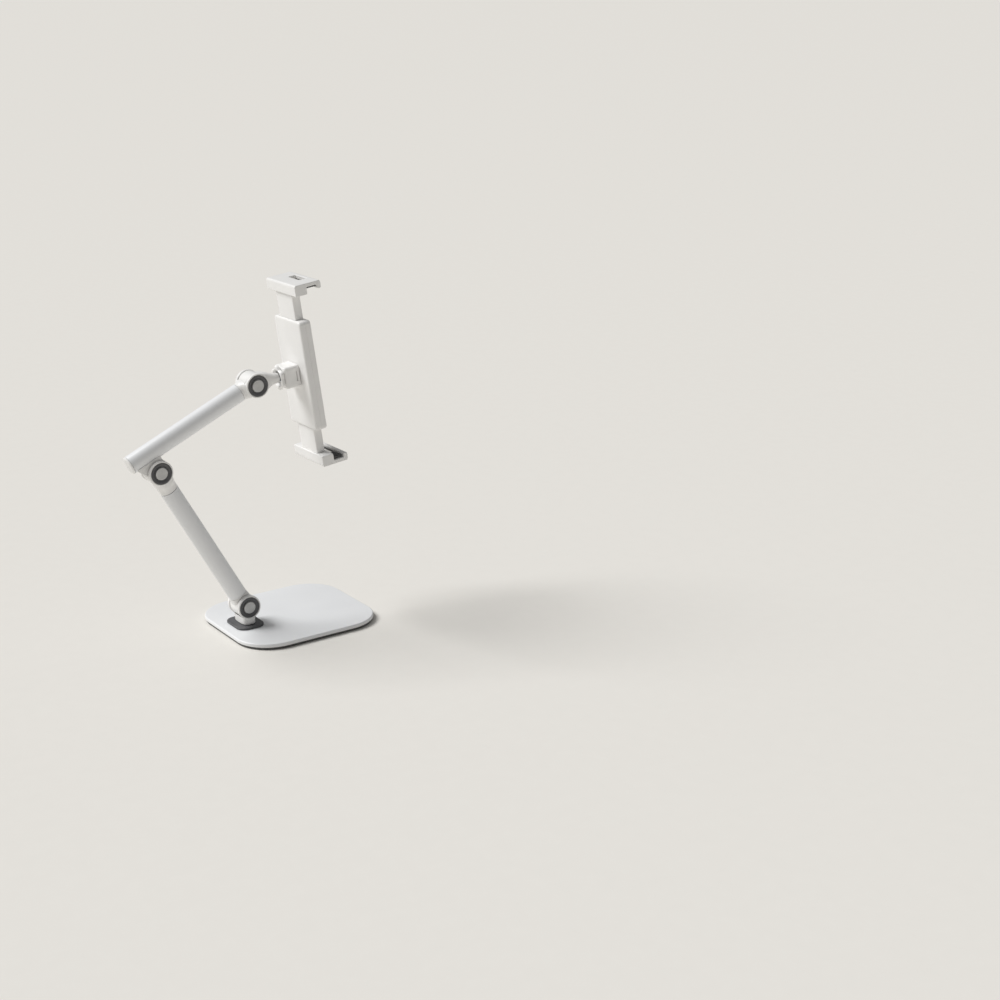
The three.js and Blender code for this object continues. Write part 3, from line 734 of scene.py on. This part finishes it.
class STAND_OT_base(StandPiece, bpy.types.Operator):
    """Makes the base plate, its pad, the swivel collar and the swivel bolt"""
    bl_idname = "stand.base"
    bl_label = "Base"

    bore, bore_top = 4.2, 12   # radius of the bolt's hole, and a height above all that it goes through

    def execute(self, context):
        s, at = self.read(context)
        home = at["stand"]
        self.pad(s, home)
        self.plate(s, home)
        self.collar(home)
        self.bolt(home)
        return {"FINISHED"}

    def outline(self, name, s, inset, *levels):
        """A slab of the base's outline, drawn in by an inset."""
        return slab(name, s.base_width / 2 - inset, s.base_depth / 2 - inset, s.base_corner - inset, *levels,
                    corner_steps=32)

    def pad(self, s, home):
        body = self.outline("pad", s, 1, 0, heights("base_pad")[1], 0.5, 0.2)
        groove = self.outline("groove", s, 7, -1, 0.5)
        island = self.outline("island", s, 9.5, -2, 1.5)
        channel = carved("channel", [groove], [island])
        hole = at_swivel(rod("hole", 9, -1, 4))
        finish(carved("base_foot_pad", [body], [channel, hole]), home, "base", "black_rubber", ["base_pad"])

    def plate(self, s, home):
        low, high = heights("base_plate")
        body = self.outline("plate", s, 0, low, high, 0.6, 1.3)
        recess = at_swivel(rod("recess", 8.5, 0, low + 2))
        bore = at_swivel(rod("bore", self.bore, 0, self.bore_top))
        finish(carved("base_top_plate", [body], [recess, bore]), home, "base", "white_paint", ["base_plate"])

    def collar(self, home):
        low, high = (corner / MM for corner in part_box("swivel_collar"))
        half = (high - low) / 2
        slip = at_swivel(slab("slip", half.x, half.y, 10, low.z, high.z, 0.2, 0.6, 24))
        bore = at_swivel(rod("bore", self.bore, 0, self.bore_top))
        finish(carved("swivel_slip_plate", [slip], [bore]), home, "base", "dark_trim", ["swivel_collar"])

    def bolt(self, home):
        low, high = heights("swivel_bolt")
        head_radius, head_top, radius = 7.5, low + 2.0, 3.8
        profile = [(0, low), (head_radius, low), (head_radius, head_top), (radius, head_top), (radius, high),
                   (0, high)]
        shank = turned("shank", fillet(profile, [0, 0.5, 0.3, 0, 0.4, 0], closed=False))
        socket = rod("socket", 3, low - 1, low + 1.2, sides=6)
        bolt = at_swivel(carved("swivel_socket_bolt", [shank], [socket]))
        finish(bolt, home, "post", "steel", ["swivel_bolt"])


class STAND_OT_castings(StandPiece, bpy.types.Operator):
    """Makes the moulded post, yokes, foot, bracket and link"""
    bl_idname = "stand.castings"
    bl_label = "Castings"

    def execute(self, context):
        s, at = self.read(context)
        wide = s.barrel_half
        self.post(s, at["post"])
        self.foot(s, at["lower_arm"])
        self.yoke(s, at["elbow"], "elbow_yoke", "lower_arm", GAP - ELBOW_SEAM, [
            (-20, 10.2, 9.4, 2.1), (-14.5, wide - 0.8, 9.4, 2.8), (-10, wide - 0.2, 9.4, 3.6),
            (-4, wide - 0.2, 9.6, 3.6)])
        self.yoke(s, at["head_hinge"], "head_yoke", "upper_arm", GAP - HEAD_SEAM, [
            (-14, 9.9, 9.4, 2.2), (-11, wide - 0.4, 9.6, 3), (-4, wide - 0.2, 9.8, 3.6)])
        self.bracket(s, at["bracket"])
        self.link(s, at["link"])
        return {"FINISHED"}

    def post(self, s, place):
        low = heights("base_post")[0] - place.translation.z
        neck = flared("neck", [(low, 12.4, 6.9, 3.6), (low + 0.6, 13, 7.5, 3.6), (-10, 13, 7.9, 3.6),
                               (-5, 13, 9.5, 3.6)])
        thread = rod("thread", 3.8 + GAP, low - 1, low + 4 + GAP)
        solid = carved("post_casting", [hinge_barrel(s), neck], hinge_cuts(s) + [thread])
        moulding(solid, place, "post", "base_post")

    def foot(self, s, place):
        eye, bore = eye_and_bore(s)
        wide = s.tongue_half
        neck = flared("neck", [(0, wide, 10, 5), (10.5, wide, 9.6, 4), (12.6, 8.8, 9.5, 2.4),
                               (FOOT_SEAM - GAP, 9.4, 9.4, 2)])
        plug = rod("plug", s.tube_bore - PLUG_GAP, FOOT_SEAM - 1, FOOT_SEAM + PLUG, rim=0.6)
        solid = carved("lower_arm_foot_casting", [eye, neck, plug], [bore])
        moulding(solid, place, "lower_arm", "lower_arm_foot")

    def yoke(self, s, place, node, body, seam, stations):
        """A forked end that starts at its tube's seam and flares out to the ears."""
        flare = flared("flare", [(seam, 9.4, 9.4, 2)] + stations)
        plug = rod("plug", s.tube_bore - PLUG_GAP, seam - PLUG, seam + 1, rim=0.6)
        solid = carved(f"{node}_casting", [hinge_barrel(s), flare, plug], hinge_cuts(s))
        moulding(solid, place, body, node)

    def bracket(self, s, place):
        """The web from the elbow up to the tube, drawn in the arm's plane, with a saddle for the tube."""
        side = [(17.5, 15.5), (17.5, 12), (11.5, 2), (7, -6), (-7, -6), (-11.9, 0), (-11.5, 5), (-9, 10),
                (-9, 15.5)]
        web = prism("web", fillet(side, [0, 2, 6, 3, 3, 3, 2, 3, 0]), -s.tongue_half, s.tongue_half)
        eye, bore = eye_and_bore(s)
        saddle = rod("saddle", s.tube_radius + GAP, -30, 30, "Y")
        saddle.data.transform(Matrix.Translation((0, 0, s.upper_offset)))
        solid = carved("elbow_bracket_casting", [eye, web], [saddle, bore])
        moulding(solid, place, "upper_arm", "elbow_bracket")

    def link(self, s, place):
        end, tip = 28.6, 5.0
        eye, bore = eye_and_bore(s)
        neck = flared("neck", [(0, s.tongue_half, 11, 5), (9, s.tongue_half, 10.4, 4), (15, 7.8, 8.8, 2.8),
                               (20, 6.6, 6.9, 2.1), (24, tip + 0.6, tip + 0.6, 2), (end, tip, tip, 2)])
        tapped = rod("tapped", 2.8, end - 9, end + 1)
        solid = carved("head_link_casting", [eye, neck], [bore, tapped])
        moulding(solid, place, "link", "head_link")
        self.stud(end, place)

    def stud(self, end, place):
        """The ball and its stem, screwed into the link's end."""
        ball, stem, screw, depth = 8.0, 4.2, 2.5, 8.5
        reach = (point("ball_pan") - point("head_hinge")).length
        shank = [(0, end - depth), (screw, end - depth), (screw, end + GAP), (stem, end + GAP)]
        profile = shank + ball_arc(ball, reach, math.asin(stem / ball), 24)
        finish(turned("polished_ball_stud", profile), place, "link", "steel", ["ball_stud"])


class STAND_OT_tubes(StandPiece, bpy.types.Operator):
    """Makes both arm tubes and the upper tube's end cap"""
    bl_idname = "stand.tubes"
    bl_label = "Tubes"

    def execute(self, context):
        s, at = self.read(context)
        lower_reach = (point("elbow") - point("base_hinge")).length
        upper_reach = (at["head_hinge"].translation - at["upper_arm"].translation).length
        self.tube(s, at, "lower_arm", FOOT_SEAM, lower_reach - ELBOW_SEAM)
        self.tube(s, at, "upper_arm", -TAIL, upper_reach - HEAD_SEAM)
        self.end_cap(s, at["upper_arm"])
        return {"FINISHED"}

    def tube(self, s, at, body, low, high):
        wall = [(s.tube_bore, low), (s.tube_radius, low), (s.tube_radius, high), (s.tube_bore, high)]
        tube = turned(f"{body}_coated_tube", fillet(wall, 0.4))
        finish(tube, at[body], body, "white_paint", [f"{body}_tube"])

    def end_cap(self, s, place):
        end = -TAIL - GAP
        plug = s.tube_bore - PLUG_GAP
        radius = s.tube_radius
        profile = [(0, end - 2), (8.2, end - 1.7), (radius, end - 0.5), (radius, end), (plug, end),
                   (plug, end + 7), (0, end + 7)]
        cap = turned("upper_arm_domed_cap", fillet(profile, [0, 1.2, 0.4, 0.1, 0, 0.6, 0], closed=False))
        finish(cap, place, "upper_arm", "white_plastic", ["upper_arm_end_cap"])


class STAND_OT_trim(StandPiece, bpy.types.Operator):
    """Makes the dark rings and the spun metal caps on both sides of each hinge"""
    bl_idname = "stand.trim"
    bl_label = "Hinge trim"

    floor = POCKET_FLOOR + GAP

    def execute(self, context):
        s, at = self.read(context)
        homes = {"base_hinge": ("post", "post"), "elbow": ("elbow", "lower_arm"),
                 "head_hinge": ("head_hinge", "upper_arm")}
        for hinge, (home, body) in homes.items():
            for side, turn in (("near", math.pi), ("far", 0)):
                facing = at[home] @ Matrix.Rotation(turn, 4, "Z")
                self.ring(s, hinge, side, facing, body)
                self.cap(s, hinge, side, facing, body)
        return {"FINISHED"}

    def ring(self, s, hinge, side, place, body):
        """A ring whose face dips from its rim to the cap."""
        inner, outer, floor = s.cap_radius + GAP, s.ring_radius, self.floor
        top = s.barrel_half - 0.1
        dish = top - 1.0
        profile = [(inner, floor), (outer, floor), (outer, top), (outer - 1.3, top), (inner + 0.7, dish),
                   (inner, dish)]
        ring = turned(f"{hinge}_dished_ring_{side}", fillet(profile, [0, 0, 0.4, 0.5, 0.5, 0.2]), "X")
        finish(ring, place, body, "dark_trim", [f"{hinge}_ring_{side}"])

    def cap(self, s, hinge, side, place, body):
        """A hollow cap with a slight dish, whose points keep their distance from its axis."""
        radius, inner, floor = s.cap_radius, 5.5, self.floor
        top = s.barrel_half + 0.3
        under = top - 0.9
        profile = [(0, top - 0.15), (radius - 0.9, top), (radius, top - 0.25), (radius, floor),
                   (inner, floor), (inner, under), (0, under)]
        rims = [0, 0.4, 0.3, 0.1, 0.1, 0, 0]
        cap = turned(f"{hinge}_spun_cap_{side}", fillet(profile, rims, closed=False), "X")
        spun = cap.data.attributes.new("from_axis", "FLOAT", "POINT")
        for vertex, value in zip(cap.data.vertices, spun.data):
            value.value = math.hypot(vertex.co.y, vertex.co.z)
        finish(cap, place, body, "grey_cap", [f"{hinge}_cap_{side}"])


class STAND_OT_socket(StandPiece, bpy.types.Operator):
    """Makes the ball's socket block and the lobed lock nut"""
    bl_idname = "stand.socket"
    bl_label = "Ball socket"

    rear, front = 5.8, -10.7   # the block's two faces, from the ball's centre

    def execute(self, context):
        head = self.read(context)[1]["head"]
        self.housing(head)
        self.nut(head)
        return {"FINISHED"}

    def housing(self, place):
        """A block hollowed for the ball's seats, with a slit in each side."""
        half, half_height = 12, 11.5
        slit, slit_half, slit_end, floor = -7.3, 0.5, 5, half - 1.8
        body = slab("block", half, half_height, 3.5, self.front, self.rear, 0.8, 2.4, 14)
        body.data.transform(UPRIGHT)
        cuts = [rod("mouth", 8.6, 0, self.rear + 1, "Y"), turned("bowl", ball_arc(10.1))]
        for left, right in ((-half - 1, -floor), (floor, half + 1)):
            cuts.append(block("slit", (left, slit - slit_half, -slit_end),
                              (right, slit + slit_half, slit_end)))
        solid = carved("socket_block_moulding", [body], cuts)
        moulding(solid, place, "holder", "socket_block", passes=3)

    def nut(self, place):
        """A nut with a wavy grip, around the link's neck."""
        low, high, bore, mouth = self.rear + GAP, 9.8, 7.4, 9
        lobes, radius, scallop, steps = 6, 12.8, 1.1, 180
        rings = []
        for inset, height in ((0.7, low), (0, low + 0.6), (0, high - 0.9), (0.9, high)):
            ring = []
            for k in range(steps):
                angle = 2 * math.pi * k / steps
                grip = radius - scallop * (1 - math.cos(lobes * angle)) - inset
                ring.append(Vector((grip * math.sin(angle), height, grip * math.cos(angle))))
            rings.append(ring)
        profile = [(0, low - 1), (bore, low - 1), (bore, low), (mouth, high), (mouth, high + 1),
                   (0, high + 1)]
        solid = carved("lobed_lock_nut", [skinned("grip", rings)], [turned("opening", profile, "Y")])
        moulding(solid, place, "lock_nut", "lock_nut", passes=3)


class STAND_OT_holder(StandPiece, bpy.types.Operator):
    """Makes the holder's two covers, its ribbed pad and the two springs inside"""
    bl_idname = "stand.holder"
    bl_label = "Holder"

    back, split, front = -11, -17.5, -24       # the covers' outer faces and their seam, along the head's Y
    wall, seam = 1.6, 0.1
    spring_start = (22.3, -18, -52)
    spring_length = 71.6

    def execute(self, context):
        s, at = self.read(context)
        self.rear_cover(s, at["head"])
        self.front_cover(s, at["head"])
        self.pad(context, at["head"])
        self.springs(context, at["head"])
        return {"FINISHED"}

    def shell(self, s, name, low, high, rims, hollow):
        """Half of the holder's body, hollowed and open at both ends for the bars."""
        half_x, half_z = s.body_half_width, s.body_half_height
        way_x = BAR_HALF + GAP
        body = slab("shell", half_x, half_z, 4, low, high, *rims, 14)
        body.data.transform(UPRIGHT)
        inner = block("inner", (self.wall - half_x, hollow[0], self.wall - half_z),
                      (half_x - self.wall, hollow[1], half_z - self.wall))
        way = block("way", (-way_x, hollow[0], -half_z - 1), (way_x, hollow[1], half_z + 1))
        return carved(name, [body], [inner, way])

    def rear_cover(self, s, place):
        edge = self.split + self.seam / 2
        solid = self.shell(s, "holder_rear_shell", edge, self.back, (0.08, 2.2),
                           (edge - 1, self.back - self.wall))
        finish(solid, place, "holder", "white_plastic", ["holder_back_cover"])

    def front_cover(self, s, place):
        """The front half, with the pinion's pin and a post for each spring."""
        edge = self.split - self.seam / 2
        face = self.front + self.wall
        solid = self.shell(s, "holder_front_shell", self.front, edge, (1.8, 0.08), (face, edge + 1))
        posts = [rod("pin", 1.6, face - 0.5, -15.2, "Y")]
        for sign in (-1, 1):
            post = rod("post", 1.4, face - 0.5, -15.5, "Y")
            post.data.transform(Matrix.Translation((sign * self.spring_start[0], 0, -sign * 54)))
            posts.append(post)
        finish(carved("holder_front_shell", [solid] + posts), place, "holder", "white_plastic",
               ["holder_front_cover"])

    def pad(self, context, place):
        pads = in_mm(context.scene.stand_pads)
        half_x, half_z, border, top = 22, 45, 3.0, self.front - GAP
        sheet = slab("sheet", half_x, half_z, 6, top - 0.6, top, 0.2, 0.05, 12)
        sheet.data.transform(UPRIGHT)
        count = int((2 * half_z - 8) / pads.rib_pitch)
        ribs = self.ribs(pads, count, half_x - border)
        ribs.data.transform(Matrix.Translation((0, top - 1 + pads.rib_radius, 0)))
        finish(joined("ribbed_holder_pad", [sheet, ribs]), place, "holder", "black_rubber",
               ["holder_front_pad"])

    def springs(self, context, place):
        """Each spring spans the holder and its jaw, and is left on neither body."""
        turns = float(context.scene.stand_pads.spring_turns)
        for side, turn in SIDES:
            coil = grown(f"{side}_wound_spring", "wound_spring",
                         {"Turns": turns, "Radius": 1.75, "Wire": 0.45, "Height": self.spring_length})
            home = place @ Matrix.Rotation(turn, 4, "Y") @ Matrix.Translation(self.spring_start)
            finish(coil, home, None, "steel", [f"{side}_spring"], crease=60)
            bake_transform(coil)


class STAND_OT_jaws(StandPiece, bpy.types.Operator):
    """Makes both sliding bars with their racks, both jaws and their ribbed pads"""
    bl_idname = "stand.jaws"
    bl_label = "Sliding jaws"

    # Along the head's Y, the jaw's back, the face towards the tablet, the lip's thickness and its end.
    back, face, thick, lip_end = -11, -24, 4, -40
    inner, outer = 84.3, 95.8  # the jaw's two sides, from the ball's height
    rack_root = 6.2            # from the pinion's axis to the bottom of the rack's teeth

    def execute(self, context):
        at = self.read(context)[1]
        for side, turn in SIDES:
            place = at["head"] @ Matrix.Rotation(turn, 4, "Y")
            self.slider(side, place)
            self.jaw(side, place)
            self.pad(context, side, place)
        return {"FINISHED"}

    def slider(self, side, place):
        """A channel bar, with a rack beside it and a hook for its spring."""
        half, back, front, wall, start, end = BAR_HALF, -13, -22, 2, 31, 84
        section = fillet([(-half, front), (half, front), (half, back), (-half, back)], 1.4, 6)
        bar = skinned("bar", [[Vector((x, y, z)) for x, y in section] for z in (start, end)])
        channel = block("channel", (-half + wall, front - 1, start - 1), (half - wall, back - wall, end - 4))
        rail_front, rail_back = -21.2, -15.3
        rail = prism("rail", self.rack(start + 3), rail_front, rail_back, "Y")
        bridge = block("bridge", (self.rack_root, rail_front, start), (half - 0.5, back - 0.5, start + 6))
        hook = block("hook", (12, -19.5, 20), (23.8, -16.5, 22.5))
        solid = carved(f"{side}_channel_bar", [bar], [channel])
        solid = carved(f"{side}_channel_bar", [solid, rail, bridge, hook])
        finish(solid, place, f"{side}_jaw", "white_plastic", [f"{side}_slider"])

    def rack(self, high):
        """A rack's outline, with its teeth towards the pinion."""
        pitch, teeth, low, edge, crest = math.pi, 17, -30, 13, 4.3
        root_half, crest_half = 0.9, 0.3
        outline = [(edge, low), (edge, high), (self.rack_root, high)]
        for i in range(teeth - 1, -1, -1):
            middle = (i - teeth // 2 + 0.5) * pitch
            outline += [(self.rack_root, middle + root_half), (crest, middle + crest_half),
                        (crest, middle - crest_half), (self.rack_root, middle - root_half)]
        outline.append((self.rack_root, low))
        return outline

    def window(self, low, high):
        """What is cut through the lip and its pad."""
        hole = slab("window", 12, 4, 1.2, low, high, corner_steps=8)
        hole.data.transform(Matrix.Translation((0, -31, 0)))
        return hole

    def jaw(self, side, place):
        """A block on the bar's end, with a lip that hooks over the tablet's edge."""
        half, drop = 31, 8.3
        back, inner, outer, lip_end = self.back, self.inner, self.outer, self.lip_end
        lip, under = lip_end + self.thick, outer - self.thick
        profile = [(back, inner + 0.2), (back, outer), (lip_end, outer), (lip_end, outer - drop),
                   (lip, outer - drop), (lip, under), (self.face, under), (self.face, inner),
                   (back - 0.2, inner)]
        outline = fillet(profile, [0.6, 2.2, 2.0, 0.8, 0.8, 0.8, 0.6, 0.9, 0.6], 6)
        body = prism("body", outline, -half, half)
        solid = carved(f"{side}_gripping_jaw", [body], [self.window(under - 4, outer + 1)])
        moulding(solid, place, f"{side}_jaw", f"{side}_jaw", voxel=0.5)

    def pad(self, context, side, place):
        """A ribbed sheet under the lip, with the window through it and ribs on both sides of that."""
        pads = in_mm(context.scene.stand_pads)
        half, rib_start, rib_end = 28, 13, 27
        high = self.outer - self.thick - GAP
        low = high - 2.2
        near, far = self.lip_end + self.thick + GAP, self.face - GAP
        outline = fillet([(near, low + 0.5), (far, low + 0.5), (far, high), (near, high)], 0.4)
        sheet = prism("sheet", outline, -half, half)
        parts = [carved("sheet", [sheet], [self.window(low - 2, high + 2)])]
        count = int((far - near - 1) / pads.rib_pitch)
        for sign in (-1, 1):
            ribs = self.ribs(pads, count, (rib_end - rib_start) / 2)
            ribs.data.transform(UPRIGHT)
            middle = (sign * (rib_start + rib_end) / 2, (near + far) / 2, low + pads.rib_radius)
            ribs.data.transform(Matrix.Translation(middle))
            parts.append(ribs)
        finish(joined(f"{side}_ribbed_jaw_pad", parts), place, f"{side}_jaw", "black_rubber",
               [f"{side}_jaw_pad"])


class STAND_OT_carried(bpy.types.Operator):
    """Gives the hidden fasteners, washers, seats and pinion their finishes"""
    bl_idname = "stand.carried"
    bl_label = "Hidden pieces"

    def execute(self, context):
        slots = {entry["node"]: entry["material_slot"] for entry in frame["record"]["subparts"]}
        for name, node in frame["nodes"].items():
            if node.hide_render:
                continue
            for slot in node.material_slots:
                slot.material = bpy.data.materials[FINISHES[slots[name]]]
        return {"FINISHED"}


class STAND_OT_repeats(bpy.types.Operator):
    """Makes the geometry trees for the pads' ribs and the springs' coils"""
    bl_idname = "stand.repeats"
    bl_label = "Repeats"

    def execute(self, context):
        rib_tree()
        coil_tree()
        return {"FINISHED"}


class STAND_OT_stage(bpy.types.Operator):
    """Makes the floor, the soft studio light and the camera"""
    bl_idname = "stand.stage"
    bl_label = "Stage"

    def execute(self, context):
        reach, level = 40, -0.0004
        corners = [Vector((x * reach, y * reach, level)) for x, y in ((-1, -1), (1, -1), (1, 1), (-1, 1))]
        floor = mesh_object("floor", corners, [[0, 1, 2, 3]])
        floor.data.materials.append(bpy.data.materials["pale_sweep"])
        self.window_light(context)
        self.surroundings(context)
        context.scene.view_settings.view_transform = "Standard"
        self.camera(context)
        return {"FINISHED"}

    def window_light(self, context):
        """A large soft light, from above and from one side."""
        key = bpy.data.lights.new("window_light", "SUN")
        key.energy = 3.05
        key.angle = math.radians(34)
        lamp = bpy.data.objects.new("window_light", key)
        lamp.rotation_euler = Vector((0.45, 0.5, 0.74)).to_track_quat("Z", "Y").to_euler()
        context.scene.collection.objects.link(lamp)

    def surroundings(self, context):
        """An even fill light, which the camera sees as a pale wall."""
        world = bpy.data.worlds.new("studio")
        world.use_nodes = True
        tree = world.node_tree
        tree.nodes.clear()
        glow = add(tree, "ShaderNodeBackground", {"Color": (1, 1, 1, 1), "Strength": 0.24})
        wall = add(tree, "ShaderNodeBackground", {"Color": linear("#dddbd7") + (1,), "Strength": 1.0})
        seen = add(tree, "ShaderNodeLightPath").outputs["Is Camera Ray"]
        both = add(tree, "ShaderNodeMixShader",
                   links={0: seen, 1: glow.outputs["Background"], 2: wall.outputs["Background"]})
        add(tree, "ShaderNodeOutputWorld", links={"Surface": both.outputs["Shader"]})
        context.scene.world = world

    def camera(self, context):
        """The camera, set by its heading, pitch and roll."""
        heading, pitch, roll = math.radians(-33.39), math.radians(16.417), math.radians(-1.495)
        level = Vector((math.cos(heading), math.sin(heading), 0))
        ahead = level * math.cos(pitch) - Vector((0, 0, math.sin(pitch)))
        above = level * math.sin(pitch) + Vector((0, 0, math.cos(pitch)))
        right = ahead.cross(above)
        across = right * math.cos(roll) + above * math.sin(roll)
        upward = above * math.cos(roll) - right * math.sin(roll)
        lens = bpy.data.cameras.new("camera")
        lens.sensor_width = 36
        lens.lens = 64.46
        lens.shift_x = 0.0015
        lens.shift_y = -0.0334
        lens.clip_end = 200
        eye = bpy.data.objects.new("camera", lens)
        turn = Matrix((across, upward, -ahead)).transposed().to_4x4()
        eye.matrix_world = Matrix.Translation((-1.597, 0.7839, 0.6801)) @ turn
        context.scene.collection.objects.link(eye)
        context.scene.camera = eye


# The finishes and the repeats come before the pieces that use them.
STEPS = (STAND_OT_materials, STAND_OT_repeats, STAND_OT_stage, STAND_OT_base, STAND_OT_castings,
         STAND_OT_tubes, STAND_OT_trim, STAND_OT_socket, STAND_OT_holder, STAND_OT_jaws, STAND_OT_carried)


class STAND_PT_panel(bpy.types.Panel):
    """Lists the stand's settings and pieces."""
    bl_idname = "STAND_PT_panel"
    bl_label = "Tablet Stand"
    bl_space_type = "VIEW_3D"
    bl_region_type = "UI"
    bl_category = "Stand"

    def draw(self, context):
        scene = context.scene
        for group in (scene.stand_sizes, scene.stand_finish, scene.stand_pads):
            for name in group.__class__.__annotations__:
                self.layout.prop(group, name)
        for step in STEPS:
            self.layout.operator(step.bl_idname)


GROUPS = (StandSizes, StandFinish, StandPads)
CLASSES = GROUPS + STEPS + (STAND_PT_panel,)


def register():
    for item in CLASSES:
        bpy.utils.register_class(item)
    bpy.types.Scene.stand_sizes = PointerProperty(type=StandSizes)
    bpy.types.Scene.stand_finish = PointerProperty(type=StandFinish)
    bpy.types.Scene.stand_pads = PointerProperty(type=StandPads)


def unregister():
    for name in ("stand_sizes", "stand_finish", "stand_pads"):
        delattr(bpy.types.Scene, name)
    for item in reversed(CLASSES):
        bpy.utils.unregister_class(item)


def main():
    register()
    for step in STEPS:
        group, name = step.bl_idname.split(".")
        getattr(getattr(bpy.ops, group), name)()


if __name__ == "__main__":
    main()
